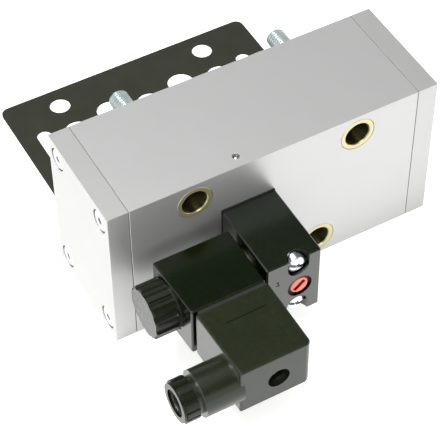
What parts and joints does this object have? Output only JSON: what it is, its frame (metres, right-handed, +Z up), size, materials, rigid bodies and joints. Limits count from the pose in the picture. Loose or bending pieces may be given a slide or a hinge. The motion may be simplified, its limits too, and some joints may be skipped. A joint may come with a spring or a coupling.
{
  "type": "pneumatic solenoid valve",
  "caption": "Sub-base mounted pneumatic valve block with a side pilot, solenoid coil, cable connector and a loose mounting gasket.",
  "frame": {"origin": "middle of the valve block's bottom face", "axes": "+Z up, +X along the spool towards the spring end, +Y from the pilot towards the mounting face"},
  "size_m": [0.1457, 0.2022, 0.0697],
  "materials": {
    "body_aluminium": "fine satin, silver anodised",
    "plate_aluminium": "fine satin, silver anodised",
    "flat_gasket_rubber": "matte",
    "seal_rubber": "matte",
    "zinc_steel": "zinc plated",
    "screw_steel": "bright zinc plated",
    "ring_brass": "machined",
    "pilot_plastic": "moulded, slightly glossy",
    "coil_plastic": "moulded",
    "nut_plastic": "moulded",
    "connector_plastic": "moulded",
    "insert_plastic": "moulded",
    "override_red": "moulded",
    "spool_aluminium": "hard anodised, polished",
    "white_plastic": "moulded",
    "spring_steel": "drawn wire",
    "stainless_steel": "turned",
    "copper_wire": "enamelled winding",
    "contact_brass": "tinned"
  },
  "bodies": {
    "valve": {"valve_block": "body_aluminium", "passage_ball_plug": "stainless_steel", "left_end_plate": "plate_aluminium", "right_end_plate": "plate_aluminium", "left_end_gasket": "seal_rubber", "right_end_gasket": "seal_rubber", "left_plate_screws": "screw_steel", "right_plate_screws": "screw_steel", "mounting_bolts": "zinc_steel", "bolt_retaining_rings": "ring_brass", "mounting_gasket": "flat_gasket_rubber", "spool_seals": "seal_rubber", "seal_spacers": "white_plastic", "piston_liner": "stainless_steel", "spring_liner": "white_plastic", "return_spring": "spring_steel", "pilot_gasket": "seal_rubber", "pilot_body": "pilot_plastic", "pilot_screws": "screw_steel", "override_spring": "spring_steel", "armature_tube": "stainless_steel", "tube_seal": "seal_rubber", "fixed_core": "stainless_steel", "plunger_spring": "spring_steel", "coil_housing": "coil_plastic", "coil_bobbin": "white_plastic", "coil_winding": "copper_wire", "coil_terminals": "contact_brass", "nut_washer": "seal_rubber", "coil_nut": "nut_plastic", "connector_gasket": "seal_rubber", "connector_housing": "connector_plastic", "terminal_block": "insert_plastic", "terminal_clamps": "contact_brass", "terminal_screws": "screw_steel", "connector_screw": "screw_steel", "gland_seal": "seal_rubber", "gland_washer": "stainless_steel", "gland_nut": "nut_plastic"},
    "spool_set": {"spool": "spool_aluminium", "pilot_piston": "white_plastic", "piston_seal": "seal_rubber"},
    "armature": {"plunger": "stainless_steel", "plunger_seal": "seal_rubber"},
    "override_stem": {"override_pin": "contact_brass"},
    "override_button": {"override_knob": "override_red", "override_seal": "seal_rubber"}
  },
  "joints": [
    {"name": "spool_slide", "type": "slide", "parent": "valve", "child": "spool_set", "axis": [1, 0, 0], "range_m": [0, 0.006], "stiffness_N_per_m": 1200, "springref_m": -0.008, "deforming": ["return_spring"]},
    {"name": "plunger_slide", "type": "slide", "parent": "valve", "child": "armature", "axis": [-1, 0, 0], "range_m": [0, 0.001], "stiffness_N_per_m": 1500, "springref_m": -0.0015, "deforming": ["plunger_spring"]},
    {"name": "override_push", "type": "slide", "parent": "valve", "child": "override_stem", "axis": [0, 1, 0], "range_m": [0, 0.002], "stiffness_N_per_m": 800, "springref_m": -0.001, "deforming": ["override_spring"]},
    {"name": "override_turn", "type": "hinge", "parent": "override_stem", "child": "override_button", "pos_m": [-0.01, -0.0579, 0.0336], "axis": [0, 1, 0], "range_deg": [0, 90]}
  ]
}
